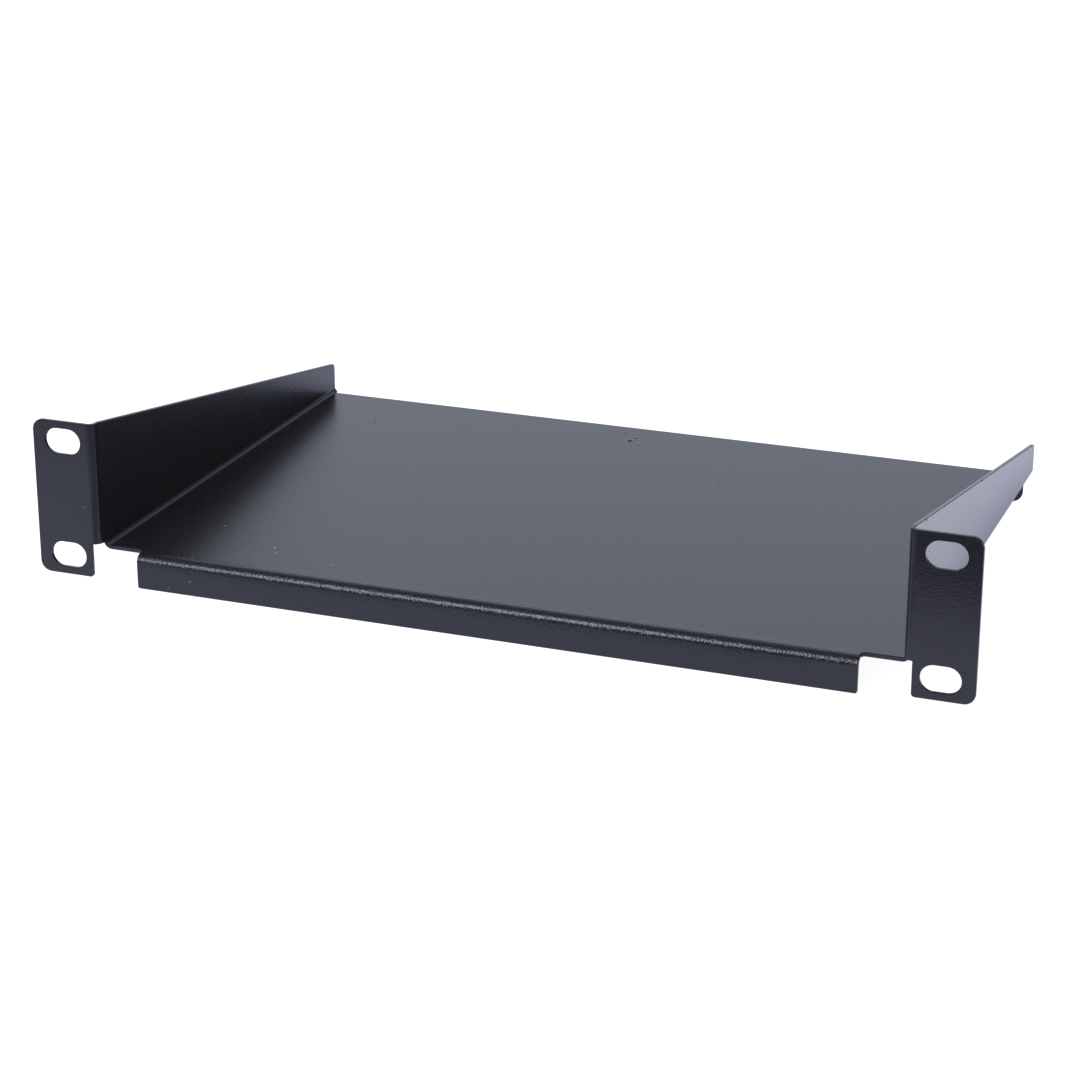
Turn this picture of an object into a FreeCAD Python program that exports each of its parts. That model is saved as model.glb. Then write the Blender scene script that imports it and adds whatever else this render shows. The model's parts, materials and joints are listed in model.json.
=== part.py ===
import FreeCAD, Part
import os
from math import cos, sin

# Cantilever shelf for a half-width rack, one unit high. It is a single steel sheet, cut flat
# and folded: a deck, a tapered side panel up each side, an ear turned outward at the front of
# each side panel, and a stiffening lip turned down at the front and at the rear of the deck.
#
# Millimetres, X to the right, Y to the rear, Z up. The origin is the centre of the four
# slots, on the plane where the backs of the ears seat against the rack's rails.

V = FreeCAD.Vector
UP = V(0, 0, 1)
REARWARD = V(0, 1, 0)
RIGHTWARD = V(1, 0, 0)

# Sheet
SHEET = 1.2                   # thickness of the steel
BEND_INNER = 1.2              # radius inside every fold
EDGE_BREAK = 0.2              # chamfer that deburring leaves on the cut edges

# Ears and their slots
PANEL_WIDTH = 254.0           # across both ears
EAR_HEIGHT = 42.8
EAR_OUTER_CORNER = 3.0        # radius of the two outer corners of an ear
EAR_INNER_CORNER = 1.0        # radius of its lower inner corner
SLOT_SIDE_INSET = 8.7375      # ear's outer edge to a slot's centre: 236.525 between centres
SLOT_END_INSET = 5.525        # ear's upper or lower end to a slot's centre: 31.75 between centres
SLOT_LENGTH = 10.3
SLOT_WIDTH = 7.0

# Deck and side panels
SIDE_TO_SLOT = 8.2625         # side panel's outer face to a slot's centre: 220 over both panels
DEPTH = 150.0                 # from the front of the ears to the rear of the deck
DECK_RISE = 8.2               # from the lower end of the ears up to the top of the deck
SIDE_LEVEL = 1.0              # side panel's top edge runs level for this far behind its fold
SIDE_LEVEL_ROUND = 4.0        # radius where the level stretch turns into the taper
SIDE_REAR_HEIGHT = 9.8        # side panel at the rear, from the underside of the deck
SIDE_REAR_CORNER = 1.2        # radius of its upper rear corner

# Lips
FRONT_NOTCH = 12.0            # from the side panel's outer face in to the end of the front lip
FRONT_NOTCH_REACH = 1.7       # how far the notch runs into the deck past the front lip's fold
FRONT_NOTCH_CORNER = 1.2      # radius where the notch beside the lip meets the deck
FRONT_LIP_HEIGHT = 9.5        # from the top of the deck to the bottom of the lip
FRONT_LIP_CORNER = 0.6
REAR_LIP_HEIGHT = 9.0
REAR_LIP_CORNER = 3.0
REAR_SLIT = 0.6               # width of the relief slit between the rear lip and a side fold
REAR_SLIT_REACH = 0.4         # how far the slit runs into the deck past the rear lip's fold

# Where the flat stretches end and the folds begin
bend_outer = BEND_INNER + SHEET
half_panel = PANEL_WIDTH / 2
slot_x = half_panel - SLOT_SIDE_INSET
half_body = slot_x - SIDE_TO_SLOT
ear_top = EAR_HEIGHT / 2
slot_z = ear_top - SLOT_END_INSET
ear_front = -SHEET
rear = ear_front + DEPTH
deck_top = DECK_RISE - ear_top
deck_bottom = deck_top - SHEET
front_fold_y = ear_front + bend_outer
front_notch_y = front_fold_y + FRONT_NOTCH_REACH
front_lip_end = half_body - FRONT_NOTCH
rear_fold_y = rear - bend_outer
slit_end_y = rear_fold_y - REAR_SLIT_REACH
side_fold_x = half_body - bend_outer
side_fold_z = deck_bottom + bend_outer
ear_fold_x = half_body + BEND_INNER
lip_fold_z = deck_top - bend_outer
side_rear_top = deck_bottom + SIDE_REAR_HEIGHT
clear = 2 * EAR_HEIGHT        # how far a cutting tool reaches past the metal

# How the edges to be broken are told from the rest
NEARLY_SQUARE = 0.3           # cosine of the angle between the normals of two square faces
JUST_INSIDE = EDGE_BREAK / 4  # step into the metal from each face
TOUCHING = 1e-3               # places closer than this are one


def line(a, b):
    """Straight edge between two points."""
    return Part.LineSegment(a, b).toShape()


def arc(centre, start, end):
    """Shorter arc about a centre, from one point to another at the same radius."""
    middle = (start - centre) + (end - centre)
    middle.normalize()
    return Part.Arc(start, centre + middle * start.distanceToPoint(centre), end).toShape()


def prism(edges, travel):
    """Solid swept by a flat closed outline along a straight travel."""
    return Part.Face(Part.Wire(edges)).extrude(travel)


def rounded_outline(corners):
    """Closed outline through (point, radius) pairs, with an arc at each corner of radius > 0."""
    edges = []
    ends = []
    for i, (point, radius) in enumerate(corners):
        before = corners[i - 1][0] - point
        after = corners[(i + 1) % len(corners)][0] - point
        if radius <= 0:
            ends.append((point, point))
            continue
        half_angle = before.getAngle(after) / 2
        reach = radius * cos(half_angle) / sin(half_angle)
        before.normalize()
        after.normalize()
        bisector = before + after
        bisector.normalize()
        start = point + before * reach
        end = point + after * reach
        centre = point + bisector * (radius / sin(half_angle))
        edges.append(arc(centre, start, end))
        ends.append((start, end))
    for i, (_, leaving) in enumerate(ends):
        arriving = ends[(i + 1) % len(ends)][0]
        if leaving.distanceToPoint(arriving) > TOUCHING:
            edges.append(line(leaving, arriving))
    return Part.__sortEdges__(edges)


def fold_edges(centre, inner_start, inner_end):
    """The four edges of a quarter fold's section: two arcs and the two ends of the sheet."""
    grow = bend_outer / BEND_INNER
    outer_start = centre + (inner_start - centre) * grow
    outer_end = centre + (inner_end - centre) * grow
    return [
        arc(centre, inner_start, inner_end),
        line(inner_end, outer_end),
        arc(centre, outer_end, outer_start),
        line(outer_start, inner_start),
    ]


def mirrored(shape):
    """The same shape on the left, reflected in the plane X = 0."""
    return shape.mirror(V(0, 0, 0), RIGHTWARD)


def deck_and_sides():
    """Trough of deck, side folds and side panels, with the panels tapering to the rear."""
    y = front_fold_y
    centre = V(side_fold_x, y, side_fold_z)
    right = [
        line(V(half_body, y, ear_top), V(half_body, y, side_fold_z)),
        arc(centre, V(half_body, y, side_fold_z), V(side_fold_x, y, deck_bottom)),
        line(V(half_body, y, ear_top), V(half_body - SHEET, y, ear_top)),
        line(V(half_body - SHEET, y, ear_top), V(half_body - SHEET, y, side_fold_z)),
        arc(centre, V(half_body - SHEET, y, side_fold_z), V(side_fold_x, y, deck_top)),
    ]
    left = [mirrored(edge) for edge in right]
    flat = [
        line(V(-side_fold_x, y, deck_bottom), V(side_fold_x, y, deck_bottom)),
        line(V(-side_fold_x, y, deck_top), V(side_fold_x, y, deck_top)),
    ]
    section = Part.__sortEdges__(right + left + flat)
    trough = prism(section, REARWARD * (rear - front_fold_y))

    # Side view: level with the ears at their fold, then straight down to the rear corner.
    x = -half_panel
    side_view = rounded_outline([
        (V(x, front_fold_y, ear_top), 0),
        (V(x, front_fold_y + SIDE_LEVEL, ear_top), SIDE_LEVEL_ROUND),
        (V(x, rear, side_rear_top), SIDE_REAR_CORNER),
        (V(x, rear, deck_bottom - clear), 0),
        (V(x, front_fold_y, deck_bottom - clear), 0),
    ])
    return trough.common(prism(side_view, RIGHTWARD * PANEL_WIDTH))


def ear():
    """Right ear with its two slots, and the fold that joins it to the side panel."""
    fold_centre = V(ear_fold_x, front_fold_y, side_fold_z)
    fold = prism(
        fold_edges(fold_centre, V(half_body, front_fold_y, side_fold_z), V(ear_fold_x, 0, side_fold_z)),
        UP * (ear_top - side_fold_z),
    )
    plate = prism(
        rounded_outline([
            (V(ear_fold_x, ear_front, ear_top), 0),
            (V(half_panel, ear_front, ear_top), EAR_OUTER_CORNER),
            (V(half_panel, ear_front, -ear_top), EAR_OUTER_CORNER),
            (V(ear_fold_x, ear_front, -ear_top), EAR_INNER_CORNER),
        ]),
        REARWARD * SHEET,
    )
    for level in (-slot_z, slot_z):
        plate = plate.cut(slot_cutter(slot_x, level))
    return fold.fuse(plate)


def slot_cutter(x, z):
    """Level slot with round ends, centred on a rack hole and cut through the ear."""
    radius = SLOT_WIDTH / 2
    straight = (SLOT_LENGTH - SLOT_WIDTH) / 2
    y = ear_front - clear
    right = V(x + straight, y, z)
    left = V(x - straight, y, z)
    rise = UP * radius
    reach = RIGHTWARD * radius
    return prism(
        [
            line(left + rise, right + rise),
            Part.Arc(right + rise, right + reach, right - rise).toShape(),
            line(right - rise, left - rise),
            Part.Arc(left - rise, left - reach, left + rise).toShape(),
        ],
        REARWARD * (2 * clear),
    )


def lip_fold(y_fold, y_face, half_length):
    """Quarter fold along X that turns the deck down to a lip whose inner face is at y_face."""
    x = -half_length
    centre = V(x, y_fold, lip_fold_z)
    section = fold_edges(centre, V(x, y_fold, deck_bottom), V(x, y_face, lip_fold_z))
    return prism(section, RIGHTWARD * (2 * half_length))


def lip_drop(y_near, height, half_length, corner):
    """Flat part of a lip, from the end of its fold down to its rounded lower corners."""
    bottom = deck_top - height
    outline = rounded_outline([
        (V(-half_length, y_near, lip_fold_z), 0),
        (V(half_length, y_near, lip_fold_z), 0),
        (V(half_length, y_near, bottom), corner),
        (V(-half_length, y_near, bottom), corner),
    ])
    return prism(outline, REARWARD * SHEET)


def front_lip():
    """Lip across the front of the deck, flush with the ears."""
    fold = lip_fold(front_fold_y, 0, front_lip_end)
    return fold.fuse(lip_drop(ear_front, FRONT_LIP_HEIGHT, front_lip_end, FRONT_LIP_CORNER))


def front_notch():
    """What is cut from the deck and the right side fold between the front lip and the ear."""
    x = half_body + clear
    y = front_fold_y - clear
    outline = rounded_outline([
        (V(front_lip_end, front_notch_y, side_fold_z), FRONT_NOTCH_CORNER),
        (V(x, front_notch_y, side_fold_z), 0),
        (V(x, y, side_fold_z), 0),
        (V(front_lip_end, y, side_fold_z), 0),
    ])
    return prism(outline, UP * -clear)


def rear_lip():
    """Lip across the rear of the deck, as long as the deck is flat."""
    fold = lip_fold(rear_fold_y, rear - SHEET, side_fold_x)
    return fold.fuse(lip_drop(rear - SHEET, REAR_LIP_HEIGHT, side_fold_x, REAR_LIP_CORNER))


def rear_clearance():
    """What is cut from the trough at the rear: room for the lip's fold, and a slit each side.

    A slit takes a narrow sector of the side fold, cut square to the sheet.
    """
    corner = V(-side_fold_x, rear_fold_y, deck_bottom - clear)
    room = Part.makeBox(2 * side_fold_x, bend_outer + clear, 2 * clear, corner)
    turn = REAR_SLIT / (BEND_INNER + SHEET / 2)
    reach = 2 * bend_outer
    hub = V(side_fold_x, slit_end_y, side_fold_z)
    down = hub - UP * reach
    aside = hub + V(sin(turn), 0, -cos(turn)) * reach
    slit = prism([line(hub, down), line(down, aside), line(aside, hub)], REARWARD * clear)
    return room.multiFuse([slit, mirrored(slit)])


def folded_sheet():
    """Deck, side panels, ears and lips in one solid, with sharp edges."""
    notch = front_notch()
    body = deck_and_sides().cut(rear_clearance()).cut(notch).cut(mirrored(notch))
    right_ear = ear()
    pieces = [right_ear, mirrored(right_ear), front_lip(), rear_lip()]
    return body.multiFuse(pieces).removeSplitter().Solids[0]


def normal_out(face, point):
    """Unit normal of a face at a point on it, pointing out of the metal."""
    u, v = face.Surface.parameter(point)
    return face.normalAt(u, v)


def is_open_rim(sheet, edge):
    """Whether an edge is square, stands outward and is clear of the tightest inside corners.

    Those are at the ends of the rear slits and under the ears' folds and what joins them.
    """
    faces = sheet.ancestorsOfType(edge, Part.Face)
    if len(faces) != 2:
        return False
    middle = edge.valueAt((edge.FirstParameter + edge.LastParameter) / 2)
    first = normal_out(faces[0], middle)
    second = normal_out(faces[1], middle)
    square = abs(first.dot(second)) < NEARLY_SQUARE
    outward = sheet.isInside(middle - (first + second) * JUST_INSIDE, TOUCHING / 10, False)
    in_slit = abs(middle.y - slit_end_y) < TOUCHING
    beside_panel = abs(middle.x) > half_body - SHEET - TOUCHING
    under_ear_fold = beside_panel and abs(middle.z - side_fold_z) < TOUCHING
    return square and outward and not in_slit and not under_ear_fold


def shelf():
    """The folded sheet with its rims broken.

    Rims that run into one another are cut in one sweep, which starts on the longest.
    """
    sheet = folded_sheet()
    rims = [edge for edge in sheet.Edges if is_open_rim(sheet, edge)]
    rims.sort(key=lambda edge: edge.Length, reverse=True)
    return sheet.makeChamfer(EDGE_BREAK, rims)


os.makedirs("parts", exist_ok=True)
shelf().exportStep("parts/shelf.step")
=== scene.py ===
import json
from math import cos, pi, radians, sin, tau

import bpy
import numpy as np
from bpy.props import FloatProperty, FloatVectorProperty, PointerProperty
from mathutils import Matrix, Vector


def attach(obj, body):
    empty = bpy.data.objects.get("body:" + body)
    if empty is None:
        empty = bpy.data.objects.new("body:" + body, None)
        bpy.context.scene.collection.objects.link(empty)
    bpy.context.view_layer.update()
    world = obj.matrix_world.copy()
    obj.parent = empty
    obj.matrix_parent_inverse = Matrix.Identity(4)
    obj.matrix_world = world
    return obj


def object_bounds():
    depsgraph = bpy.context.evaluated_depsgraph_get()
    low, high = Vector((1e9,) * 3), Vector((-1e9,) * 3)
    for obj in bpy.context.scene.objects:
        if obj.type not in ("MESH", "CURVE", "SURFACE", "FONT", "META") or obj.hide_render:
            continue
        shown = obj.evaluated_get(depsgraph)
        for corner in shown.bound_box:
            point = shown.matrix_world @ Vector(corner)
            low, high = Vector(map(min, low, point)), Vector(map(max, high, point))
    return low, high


# Dresses a folded steel rack shelf in its satin black powder coat and sets it in a plain studio.
# X to the right, Y to the rear, Z up. The origin is the centre of the four slots. Lengths are in
# metres unless a comment says millimetres.

bl_info = {
    "name": "Cantilever rack shelf",
    "version": (1, 0, 0),
    "blender": (4, 5, 0),
    "location": "View3D > Sidebar > Shelf",
    "description": "Coats a folded rack shelf and sets it in a studio",
    "category": "Object",
}

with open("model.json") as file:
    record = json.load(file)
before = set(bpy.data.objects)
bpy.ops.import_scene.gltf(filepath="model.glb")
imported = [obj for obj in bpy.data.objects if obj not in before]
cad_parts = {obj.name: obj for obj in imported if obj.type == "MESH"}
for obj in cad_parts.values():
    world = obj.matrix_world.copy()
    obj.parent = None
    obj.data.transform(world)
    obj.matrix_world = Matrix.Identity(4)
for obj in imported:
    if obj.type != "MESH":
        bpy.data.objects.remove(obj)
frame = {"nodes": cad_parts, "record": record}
cad_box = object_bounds()
MOUNTS = {mount["name"]: Vector(mount["pos_m"]) for mount in frame["record"]["mounts"]}
DECK_TOP = MOUNTS["deck_top"].z
FLOOR = cad_box[0].z
MM = 0.001

# Planes that marks in the coat lie on, in millimetres: the top of the deck, the front of lip and
# ears, and the outer face of the right side panel
DECK = DECK_TOP / MM
FRONT = cad_box[0].y / MM
SIDE = 110.0

# Outer radius of the sheet's folds in millimetres, how far the front fold stops short of the side
# panels' outer faces, and how far its coarse grain reaches from its axis, as a multiple of that
# radius
FOLD = 2.4
FOLD_STOP = 12.0
FOLD_REACH = 1.6

# Constants of the coat
COAT_IOR = 1.5
OCTAVE_ROUGHNESS = 0.55                  # share of its strength that each finer octave of noise keeps
GRAIN_GLOSS = 0.015                      # spread of the roughness over the grains
CLOUD_SIZE = 0.02                        # width of the faint clouds in the pigment
CLOUD_SHADES = (0.85, 1.15)              # darkest and palest cloud, as shares of the pigment
PINHOLE_COLOUR = (0.002, 0.002, 0.003)
PINHOLE_DEPTH = 0.0001
FLECK_COLOUR = (0.38, 0.38, 0.40)
MARK_CORE = 0.4                          # part of a mark's radius that has its full strength

# Grit trapped in the coat of the deck, as (x, y, radius, height) in millimetres
GRIT = (
    (-6.4, 137.6, 0.7, 0.20),
    (-3.5, 132.0, 0.6, 0.14),
    (-1.5, 135.7, 0.7, 0.10),
    (-85.9, 26.9, 0.5, 0.08),
)
GRIT_FOOT = -0.05                        # height of a mound's foot from the deck, in millimetres

# Pinholes and knocks in the coat, as (x, y, z, radius) in millimetres and a strength up to 1
PINHOLES = (
    (-10.3, 140.9, DECK, 0.5, 1),
    (-6.9, 134.5, DECK, 1.0, 1),
    (-84.3, 124.3, DECK, 0.5, 1),
    (29.6, 105.8, DECK, 0.4, 1),
    (SIDE, 76.8, 8.1, 0.6, 1),
    (SIDE, 12.1, 19.3, 0.6, 1),
)

# Pale flecks, in the same form
FLECKS = (
    (-6.5, 136.6, DECK, 0.5, 1),
    (-85.9, 26.9, DECK, 0.45, 0.8),
    (-66.2, 16.8, DECK, 0.5, 1),
    (-64.1, 13.2, DECK, 0.4, 1),
    (-46.7, 10.4, DECK, 0.35, 1),
    (-82.4, FRONT, -18.7, 0.55, 0.22),
    (-88.7, FRONT, -21.3, 0.45, 0.2),
    (-112.8, FRONT, -1.8, 0.5, 0.17),
)

# Backdrop and floor are white to the camera, and have these colours where gloss mirrors them
WHITE = (1, 1, 1)
BLACK = (0, 0, 0)
BACKDROP_SHEEN = (0.84, 0.92, 1.07)
FLOOR_SHEEN = (0.62, 0.66, 0.90)

# The floor is a disc
FLOOR_REACH = 6.0                        # its radius
FLOOR_SIDES = 96                         # straight sides round its rim
FLOOR_GAP = 0.0001                       # how far it lies under the object
CARD_GAP = 0.0005                        # how far a card that lies on it is above the object's foot

# Softboxes, as (name, place, what it is turned to, width, height, colour)
SOFTBOXES = (
    ("key", (-0.42, -0.98, 0.60), (0, 0, 0), 0.5, 0.5, (8.4, 8.7, 10.1)),
    ("side", (0.27, 0.32, FLOOR + 2 * CARD_GAP), (0.27, 0.32, 1), 0.30, 0.64, (0.56, 0.54, 0.56)),
)

# Cards that only gloss mirrors, where the photographed studio is darker, and one painted shadow, in
# the same form
FLAGS = (
    ("ceiling", (0, -0.08, 1.0), (0, -0.08, 0), 6.0, 1.05, (0.31, 0.34, 0.42)),
    ("back_right", (1.28, 1.56, 0.83), (0, 0, 0.83), 2.5, 1.70, (0.26, 0.25, 0.25)),
    ("front", (0.053, -0.082, -0.006), (-0.137, 0.918, -0.006), 1.2, 0.032, BLACK),
    ("front_shade", (-0.015, -0.045, FLOOR + CARD_GAP), (-0.015, -0.045, 1), 0.19, 0.055,
     (0.36, 0.39, 0.58)),
    # rear_shade is painted shadow: the shelf's own shadow on the floor just behind its rear lip,
    # which the glowing floor doesn't show to gloss
    ("rear_shade", (0, 0.161, FLOOR + CARD_GAP), (0, 0.161, 1), 0.22, 0.026, (0.2, 0.2, 0.2)),
)

# Nearest and farthest that the camera draws: a share of its distance, and a length
NEAR_CLIP = 0.05
FAR_CLIP = 100


class ShelfCoat(bpy.types.PropertyGroup):
    """Colour and surface of the powder coat."""
    pigment: FloatVectorProperty(
        name="Pigment", description="Colour of the coat", subtype="COLOR", size=3,
        min=0, max=1, default=(0.0105, 0.0095, 0.0145))
    roughness: FloatProperty(
        name="Roughness", description="Roughness of the coat's gloss", subtype="FACTOR",
        min=0, max=1, default=0.28)
    grain_size: FloatProperty(
        name="Grain Size", description="Width of one grain of the texture", unit="LENGTH",
        min=0.0001, default=0.0005)
    grain_depth: FloatProperty(
        name="Grain Depth", description="Height of the grains", unit="LENGTH",
        min=0, default=0.000035)
    fold_grain_depth: FloatProperty(
        name="Fold Grain Depth", description="Further height of the grains on the front fold",
        unit="LENGTH", min=0, default=0.00008)
    peel_size: FloatProperty(
        name="Peel Size", description="Width of one wave of orange peel", unit="LENGTH",
        min=0.0005, default=0.0022)
    peel_depth: FloatProperty(
        name="Peel Depth", description="Height of the orange peel", unit="LENGTH",
        min=0, default=0.00001)


class ShelfStudio(bpy.types.PropertyGroup):
    """Floor, light and camera."""
    floor_tone: FloatProperty(
        name="Floor Tone", description="How pale the floor is", subtype="FACTOR",
        min=0, max=1, default=0.8)
    floor_glow: FloatProperty(
        name="Floor Glow", description="How bright camera and gloss see the floor without lamps",
        min=0, default=0.92)
    fill: FloatProperty(
        name="Fill", description="Brightness of the even light from all round",
        min=0, default=0.36)
    lamps: FloatProperty(
        name="Lamps", description="Brightness of the softboxes, as a share of their own",
        min=0, default=1)
    azimuth: FloatProperty(
        name="Azimuth", description="How far the camera stands round to the right",
        subtype="ANGLE", default=radians(20.799))
    elevation: FloatProperty(
        name="Elevation", description="How far the camera looks down", subtype="ANGLE",
        default=radians(20.444))
    roll: FloatProperty(
        name="Roll", description="Turn of the camera about its own line of sight",
        subtype="ANGLE", default=radians(0.023))
    distance: FloatProperty(
        name="Distance", description="From the camera to what it looks at",
        subtype="DISTANCE", unit="LENGTH", default=0.7109)
    lens: FloatProperty(
        name="Lens", description="Focal length in millimetres", unit="CAMERA", default=95.43)
    target: FloatVectorProperty(
        name="Target", description="What the camera looks at", subtype="XYZ", size=3,
        unit="LENGTH", default=(0.01206, 0.00533, 0.00489))


class Graph:
    """A node tree under construction."""

    def __init__(self, owner):
        owner.use_nodes = True
        self.tree = owner.node_tree
        self.tree.nodes.clear()

    def add(self, kind, settings=None, sockets=None):
        """A node of a type, with its settings made first and then its sockets' values or links."""
        node = self.tree.nodes.new(kind)
        for name, value in (settings or {}).items():
            setattr(node, name, value)
        for key, value in (sockets or {}).items():
            self.join(node.inputs[key], value)
        return node

    def join(self, socket, value):
        """Links a socket to a signal or another node's output, or sets its value."""
        if isinstance(value, Signal):
            value = value.socket
        if isinstance(value, bpy.types.NodeSocket):
            self.tree.links.new(value, socket)
        else:
            socket.default_value = value

    def signal(self, socket):
        """An output socket as a number that arithmetic works on."""
        return Signal(self, socket)


class Signal:
    """A number that varies over a surface, with arithmetic that adds Math nodes."""

    def __init__(self, graph, socket):
        self.graph = graph
        self.socket = socket

    def math(self, operation, *values):
        node = self.graph.add("ShaderNodeMath", {"operation": operation}, dict(enumerate(values)))
        return Signal(self.graph, node.outputs[0])

    def __add__(self, other):
        return self.math("ADD", self, other)

    def __radd__(self, other):
        return self.math("ADD", other, self)

    def __sub__(self, other):
        return self.math("SUBTRACT", self, other)

    def __rsub__(self, other):
        return self.math("SUBTRACT", other, self)

    def __mul__(self, other):
        return self.math("MULTIPLY", self, other)

    def __rmul__(self, other):
        return self.math("MULTIPLY", other, self)

    def larger(self, other):
        return self.math("MAXIMUM", self, other)


def opaque(colour, share=1):
    """A colour made darker or paler by a share, with full alpha."""
    return (*(share * channel for channel in colour), 1)


def mixed(graph, factor, first, second):
    """Mix of two colours, as a socket."""
    node = graph.add("ShaderNodeMix", {"data_type": "RGBA"})
    colour_inputs = [socket for socket in node.inputs if socket.type == "RGBA"]
    graph.join(node.inputs[0], factor)
    graph.join(colour_inputs[0], first)
    graph.join(colour_inputs[1], second)
    return next(socket for socket in node.outputs if socket.type == "RGBA")


def noise(graph, place, width, octaves):
    """Smooth noise from 0 to 1 whose waves are about as wide as stated, with finer octaves."""
    node = graph.add("ShaderNodeTexNoise", None, {
        "Vector": place, "Scale": 1 / width, "Detail": octaves, "Roughness": OCTAVE_ROUGHNESS,
    })
    return graph.signal(node.outputs[0])


def spot(graph, place, centre, radius):
    """1 in the core of a ball, falling smoothly to 0 at its skin and beyond."""
    distance = graph.add("ShaderNodeVectorMath", {"operation": "DISTANCE"}, {0: place, 1: centre})
    fade = graph.add("ShaderNodeMapRange", {"interpolation_type": "SMOOTHSTEP"}, {
        "Value": distance.outputs["Value"], "From Min": radius * MARK_CORE, "From Max": radius,
        "To Min": 1.0, "To Max": 0.0,
    })
    return graph.signal(fade.outputs[0])


def spots(graph, place, marks):
    """The strength of the mark that a place lies in, and 0 outside them all."""
    mask = None
    for x, y, z, radius, strength in marks:
        one = spot(graph, place, Vector((x, y, z)) * MM, radius * MM) * strength
        mask = one if mask is None else mask.larger(one)
    return mask


def front_fold(graph, place):
    """1 on the fold between deck and front lip, falling smoothly to 0 beside it and past its ends."""
    end = SIDE - FOLD_STOP
    left, right = (Vector((x, FRONT + FOLD, DECK - FOLD)) * MM for x in (-end, end))
    # The point of the fold's axis nearest to the place: each coordinate is held between its ends'
    raised = graph.add("ShaderNodeVectorMath", {"operation": "MAXIMUM"}, {0: place, 1: left})
    nearest = graph.add("ShaderNodeVectorMath", {"operation": "MINIMUM"}, {
        0: raised.outputs["Vector"], 1: right,
    })
    return spot(graph, place, nearest.outputs["Vector"], FOLD_REACH * FOLD * MM)


def powder_coat(coat):
    """Satin black powder coat: fine grain over a faint orange peel, with pinholes and flecks."""
    material = bpy.data.materials.new("powder_coat")
    graph = Graph(material)
    place = graph.add("ShaderNodeTexCoord").outputs["Object"]
    grain = noise(graph, place, coat.grain_size, 0.0)
    peel = noise(graph, place, coat.peel_size, 1.0)
    cloud = noise(graph, place, CLOUD_SIZE, 2.0)
    pinholes = spots(graph, place, PINHOLES)
    flecks = spots(graph, place, FLECKS)

    grain_depth = coat.grain_depth + coat.fold_grain_depth * front_fold(graph, place)
    height = grain_depth * grain + coat.peel_depth * peel - PINHOLE_DEPTH * pinholes
    bump = graph.add("ShaderNodeBump", None, {"Distance": 1.0, "Height": height})

    darkest, palest = (opaque(coat.pigment, shade) for shade in CLOUD_SHADES)
    tint = mixed(graph, cloud, darkest, palest)
    tint = mixed(graph, pinholes, tint, opaque(PINHOLE_COLOUR))
    tint = mixed(graph, flecks, tint, opaque(FLECK_COLOUR))
    smoothest = coat.roughness - GRAIN_GLOSS / 2
    surface = graph.add("ShaderNodeBsdfPrincipled", None, {
        "Base Color": tint,
        "Roughness": (smoothest + GRAIN_GLOSS * grain).larger(pinholes),
        "IOR": COAT_IOR,
        "Normal": bump.outputs[0],
    })
    graph.add("ShaderNodeOutputMaterial", None, {"Surface": surface.outputs[0]})
    return material


class SHELF_OT_coat_sheet(bpy.types.Operator):
    """Give the folded sheet its powder coat"""
    bl_idname = "shelf.coat_sheet"
    bl_label = "Coat the Sheet"

    def execute(self, context):
        sheet = frame["nodes"]["shelf"]
        material = powder_coat(context.scene.shelf_coat)
        for holder in sheet.material_slots:
            holder.material = material
        return {"FINISHED"}


def grit_mesh(name):
    """Low mounds of coat over trapped grit, in one mesh.

    A mound's surface is z = height * (1 - r^2)^2 for r from 0 to 1 out from its centre, with a
    flat disc under it, a little below the deck.
    """
    rings = 8
    around = 24
    r = np.linspace(0, 1, rings + 1)[1:]
    turn = np.arange(around) * tau / around
    rise = (1 - r ** 2) ** 2
    points = []
    faces = []
    for x, y, radius, height in GRIT:
        start = len(points) * (rings * around + 2)
        grid = np.empty((rings, around, 3))
        grid[..., 0] = x + radius * np.outer(r, np.cos(turn))
        grid[..., 1] = y + radius * np.outer(r, np.sin(turn))
        grid[..., 2] = (height * rise)[:, None]
        grid[-1, :, 2] = GRIT_FOOT
        top = [[x, y, height]]
        bottom = [[x, y, GRIT_FOOT]]
        points.append(np.concatenate([top, grid.reshape(-1, 3), bottom]))
        index = start + 1 + np.arange(rings * around).reshape(rings, around)
        after = np.roll(index, -1, axis=1)
        last = np.full(around, start + rings * around + 1)
        walls = np.stack([index[:-1], index[1:], after[1:], after[:-1]], axis=-1).reshape(-1, 4)
        cap = np.stack([np.full(around, start), index[0], after[0]], axis=-1)
        foot = np.stack([last, after[-1], index[-1]], axis=-1)
        faces += walls.tolist() + cap.tolist() + foot.tolist()
    mesh = bpy.data.meshes.new(name)
    vertices = np.concatenate(points) * MM + (0, 0, DECK_TOP)
    mesh.from_pydata(vertices.tolist(), [], faces)
    mesh.polygons.foreach_set("use_smooth", [True] * len(faces))
    return mesh


class SHELF_OT_trap_grit(bpy.types.Operator):
    """Raise the coat over the grit trapped in the deck"""
    bl_idname = "shelf.trap_grit"
    bl_label = "Trap the Grit"

    def execute(self, context):
        grit = bpy.data.objects.new("coated_grit", grit_mesh("coated_grit"))
        context.collection.objects.link(grit)
        grit.data.materials.append(frame["nodes"]["shelf"].material_slots[0].material)
        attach(grit, "root")
        return {"FINISHED"}


def surroundings(graph, sheen):
    """What a white background shows: white to the camera, and its sheen to gloss and glass.

    Gives the colour, and 1 for the rays that see it or 0 for the rest.
    """
    rays = graph.add("ShaderNodeLightPath").outputs
    camera = graph.signal(rays["Is Camera Ray"])
    mirrored = graph.signal(rays["Is Glossy Ray"]) + graph.signal(rays["Is Transmission Ray"])
    return mixed(graph, camera, opaque(sheen), opaque(WHITE)), camera + mirrored


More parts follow.
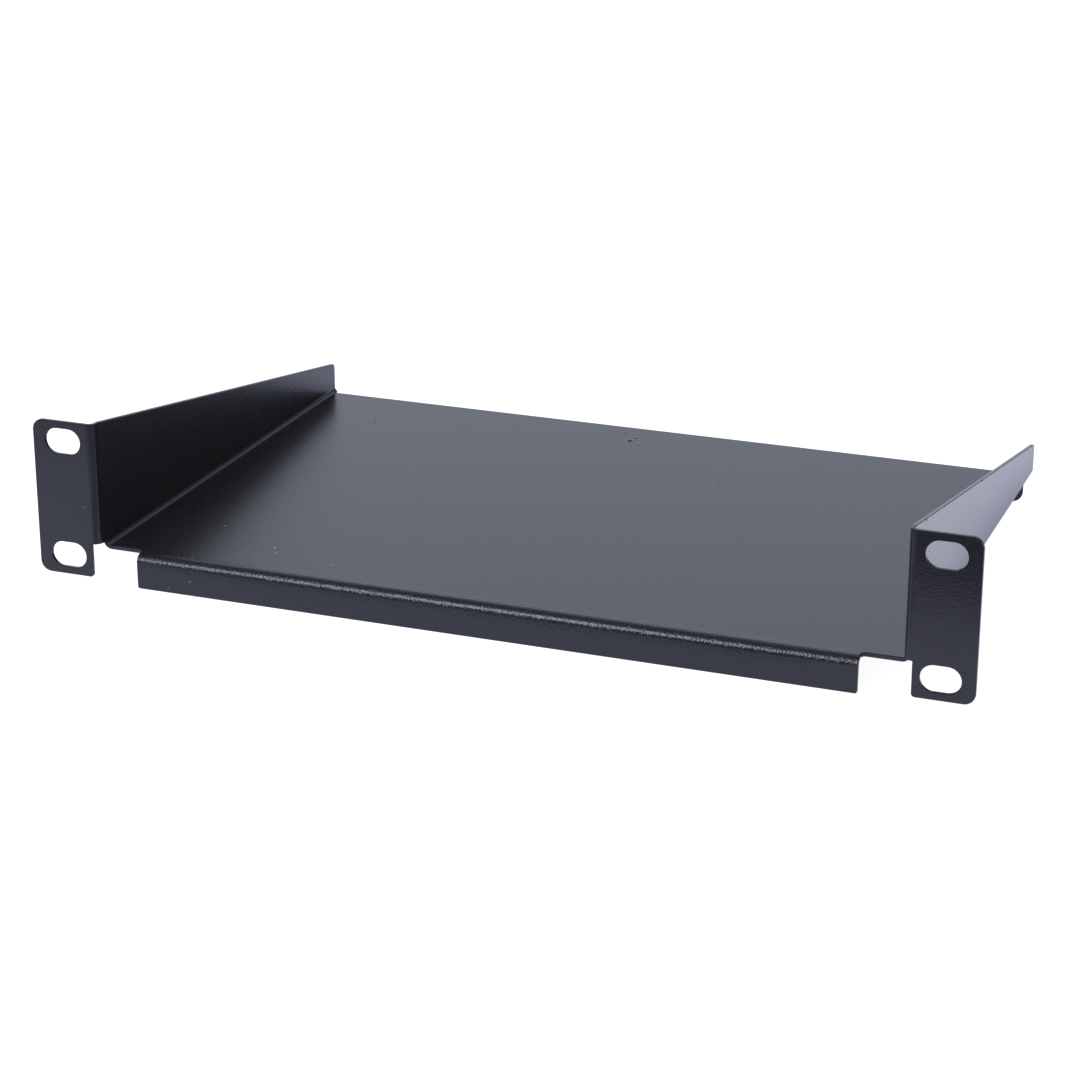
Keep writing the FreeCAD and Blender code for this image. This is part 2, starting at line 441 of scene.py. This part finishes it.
def floor_material(tone, glow):
    """Pale floor with a glow that camera and gloss see, so that only the shadow greys it.

    It is clear from below. The glow is too even to be worth sampling as a lamp.
    """
    material = bpy.data.materials.new("pale_floor")
    material.cycles.emission_sampling = "NONE"
    graph = Graph(material)
    colour, seen = surroundings(graph, FLOOR_SHEEN)
    pale = graph.add("ShaderNodeBsdfDiffuse", None, {"Color": opaque(WHITE, tone)})
    light = graph.add("ShaderNodeEmission", None, {"Color": colour, "Strength": seen * glow})
    lit = graph.add("ShaderNodeAddShader", None, {0: pale.outputs[0], 1: light.outputs[0]})
    behind = graph.add("ShaderNodeNewGeometry").outputs["Backfacing"]
    clear = graph.add("ShaderNodeBsdfTransparent")
    top_only = graph.add("ShaderNodeMixShader", None, {
        0: behind, 1: lit.outputs[0], 2: clear.outputs[0],
    })
    graph.add("ShaderNodeOutputMaterial", None, {"Surface": top_only.outputs[0]})
    return material


def lay_floor(context, tone, glow):
    """A flat disc under the object, wide enough to fill every view."""
    turn = np.arange(FLOOR_SIDES) * tau / FLOOR_SIDES
    level = np.full(FLOOR_SIDES, FLOOR - FLOOR_GAP)
    rim = np.stack([FLOOR_REACH * np.cos(turn), FLOOR_REACH * np.sin(turn), level], axis=-1)
    mesh = bpy.data.meshes.new("floor")
    mesh.from_pydata(rim.tolist(), [], [list(range(FLOOR_SIDES))])
    floor = bpy.data.objects.new("floor", mesh)
    context.collection.objects.link(floor)
    floor.data.materials.append(floor_material(tone, glow))


def light_world(context, fill):
    """White backdrop all round, and a dim even fill on what isn't glossy."""
    world = bpy.data.worlds.new("studio")
    context.scene.world = world
    graph = Graph(world)
    colour, seen = surroundings(graph, BACKDROP_SHEEN)
    background = graph.add("ShaderNodeBackground", None, {
        "Color": colour, "Strength": seen.larger(fill),
    })
    graph.add("ShaderNodeOutputWorld", None, {"Surface": background.outputs[0]})


def turned(place, aim):
    """Rotation of a thing whose face looks along -Z, so that it looks from a place at another."""
    return (Vector(aim) - Vector(place)).to_track_quat("-Z", "Y")


def hang_softbox(context, name, place, aim, width, height, colour, lamps):
    """A rectangular lamp at a place, turned towards another, as bright to look at as stated."""
    brightest = max(colour)
    lamp = bpy.data.lights.new(name, "AREA")
    lamp.shape = "RECTANGLE"
    lamp.size = width
    lamp.size_y = height
    lamp.energy = brightest * lamps * pi * width * height
    lamp.color = [channel / brightest for channel in colour]
    box = bpy.data.objects.new(name, lamp)
    context.collection.objects.link(box)
    box.location = place
    box.rotation_euler = turned(place, aim).to_euler()
    box.visible_camera = False


def card_material(name, colour):
    """An even colour that gloss mirrors as it is, and that lights nothing by itself."""
    material = bpy.data.materials.new(name)
    material.cycles.emission_sampling = "NONE"
    graph = Graph(material)
    light = graph.add("ShaderNodeEmission", None, {"Color": opaque(colour)})
    graph.add("ShaderNodeOutputMaterial", None, {"Surface": light.outputs[0]})
    return material


def hang_flag(context, name, place, aim, width, height, colour):
    """A card at a place, turned towards another, that only gloss sees."""
    across = Vector((width / 2, 0, 0))
    along = Vector((0, height / 2, 0))
    turn = turned(place, aim)
    signs = ((-1, -1), (1, -1), (1, 1), (-1, 1))
    corners = [Vector(place) + turn @ (across * i + along * j) for i, j in signs]
    mesh = bpy.data.meshes.new(name)
    mesh.from_pydata([list(corner) for corner in corners], [], [(0, 1, 2, 3)])
    mesh.materials.append(card_material(name + "_card", colour))
    card = bpy.data.objects.new(name, mesh)
    context.collection.objects.link(card)
    card.visible_camera = False
    card.visible_diffuse = False
    card.visible_transmission = False
    card.visible_shadow = False


def set_camera(context, studio):
    """Camera at an azimuth and elevation round its target, rolled about its line of sight."""
    a = studio.azimuth
    e = studio.elevation
    back = Vector((sin(a) * cos(e), -cos(a) * cos(e), sin(e)))
    level = Vector((cos(a), sin(a), 0))
    right = Matrix.Rotation(studio.roll, 3, back) @ level
    up = back.cross(right)
    turn = Matrix((right, up, back)).transposed().to_4x4()
    place = Vector(studio.target) + back * studio.distance
    lens = bpy.data.cameras.new("photo")
    lens.lens = studio.lens
    lens.clip_start = studio.distance * NEAR_CLIP
    lens.clip_end = FAR_CLIP
    camera = bpy.data.objects.new("photo", lens)
    context.collection.objects.link(camera)
    camera.matrix_world = Matrix.Translation(place) @ turn
    context.scene.camera = camera


class SHELF_OT_set_stage(bpy.types.Operator):
    """Lay the floor, hang the lamps and place the camera"""
    bl_idname = "shelf.set_stage"
    bl_label = "Set the Stage"

    def execute(self, context):
        studio = context.scene.shelf_studio
        lay_floor(context, studio.floor_tone, studio.floor_glow)
        light_world(context, studio.fill)
        for softbox in SOFTBOXES:
            hang_softbox(context, *softbox, studio.lamps)
        for flag in FLAGS:
            hang_flag(context, *flag)
        set_camera(context, studio)
        context.scene.view_settings.view_transform = "Standard"
        return {"FINISHED"}


class SHELF_PT_sidebar(bpy.types.Panel):
    """Settings and steps of the shelf"""
    bl_idname = "SHELF_PT_sidebar"
    bl_label = "Rack Shelf"
    bl_space_type = "VIEW_3D"
    bl_region_type = "UI"
    bl_category = "Shelf"

    def draw(self, context):
        for settings in (context.scene.shelf_coat, context.scene.shelf_studio):
            box = self.layout.box()
            for name in settings.bl_rna.properties.keys():
                if name not in ("rna_type", "name"):
                    box.prop(settings, name)
        for step in STEPS:
            self.layout.operator(step.bl_idname)


STEPS = (SHELF_OT_coat_sheet, SHELF_OT_trap_grit, SHELF_OT_set_stage)
CLASSES = (ShelfCoat, ShelfStudio, *STEPS, SHELF_PT_sidebar)


def register():
    for cls in CLASSES:
        bpy.utils.register_class(cls)
    bpy.types.Scene.shelf_coat = PointerProperty(type=ShelfCoat)
    bpy.types.Scene.shelf_studio = PointerProperty(type=ShelfStudio)


def unregister():
    del bpy.types.Scene.shelf_studio
    del bpy.types.Scene.shelf_coat
    for cls in reversed(CLASSES):
        bpy.utils.unregister_class(cls)


def main():
    register()
    bpy.ops.shelf.coat_sheet()
    bpy.ops.shelf.trap_grit()
    bpy.ops.shelf.set_stage()


if __name__ == "__main__":
    main()
